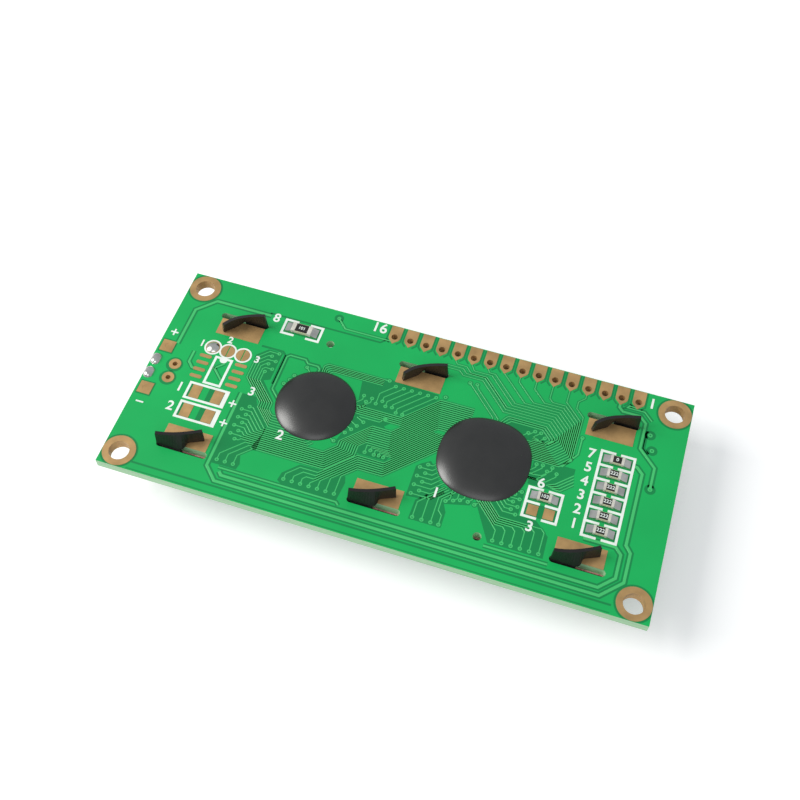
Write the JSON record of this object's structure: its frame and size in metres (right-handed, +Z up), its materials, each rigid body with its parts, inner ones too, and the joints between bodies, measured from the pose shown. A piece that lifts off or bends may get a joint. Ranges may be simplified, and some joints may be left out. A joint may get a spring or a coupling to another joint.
{
  "type": "character lcd module",
  "caption": "Character display module lying face down: green circuit board with chip globs, held on a black steel bezel by twisted tabs, with glass cell and backlight inside.",
  "frame": {"origin": "middle of the board's outline, on the plane of the bezel's front face that the module lies on", "axes": "+X along the board towards the header's first hole, +Y across the board towards the header row, +Z up from the bezel's face to the board's component side"},
  "size_m": [0.08, 0.036, 0.0115],
  "materials": {
    "solder_mask": "green solder mask over glass-epoxy board, semi-gloss",
    "gold_plate": "gold flash over copper, satin",
    "white_ink": "white screen-printed ink",
    "black_steel": "black enamel on steel sheet, satin",
    "polariser": "dark blue polarising film, gloss",
    "cell_glass": "clear float glass",
    "seal_resin": "cured seal resin",
    "pink_rubber": "pink silicone with fine dark conductor layers",
    "white_film": "white diffusing film",
    "guide_acrylic": "milky acrylic",
    "mirror_film": "aluminised film",
    "carrier_board": "white board strip",
    "led_resin": "phosphor resin in a white cup",
    "tinned_strip": "tinned copper strip",
    "silicon": "bare silicon",
    "black_resin": "black epoxy, satin with broad highlights",
    "chip_ceramic": "white ceramic with black glazed top and tinned ends",
    "solder": "bright tin solder"
  },
  "bodies": {
    "root": {"pcb": "solder_mask", "mounting_rings": "gold_plate", "header_lands": "gold_plate", "tab_lands": "gold_plate", "backlight_lands": "gold_plate", "component_lands": "gold_plate", "printed_outlines": "white_ink", "bezel": "black_steel", "front_polariser": "polariser", "front_glass": "cell_glass", "cell_seal": "seal_resin", "rear_glass": "cell_glass", "rear_polariser": "polariser", "connector_strip_far": "pink_rubber", "connector_strip_near": "pink_rubber", "diffuser_film": "white_film", "light_guide": "guide_acrylic", "reflector_film": "mirror_film", "led_carrier": "carrier_board", "backlight_leds": "led_resin", "anode_lead": "tinned_strip", "cathode_lead": "tinned_strip", "driver_die": "silicon", "driver_glob": "black_resin", "controller_die": "silicon", "controller_glob": "black_resin", "resistor_1": "chip_ceramic", "resistor_2": "chip_ceramic", "resistor_3": "chip_ceramic", "resistor_4": "chip_ceramic", "resistor_5": "chip_ceramic", "resistor_6": "chip_ceramic", "resistor_7": "chip_ceramic", "resistor_8": "chip_ceramic", "resistor_solder": "solder", "jumper_solder": "solder", "terminal_solder": "solder"}
  },
  "joints": []
}
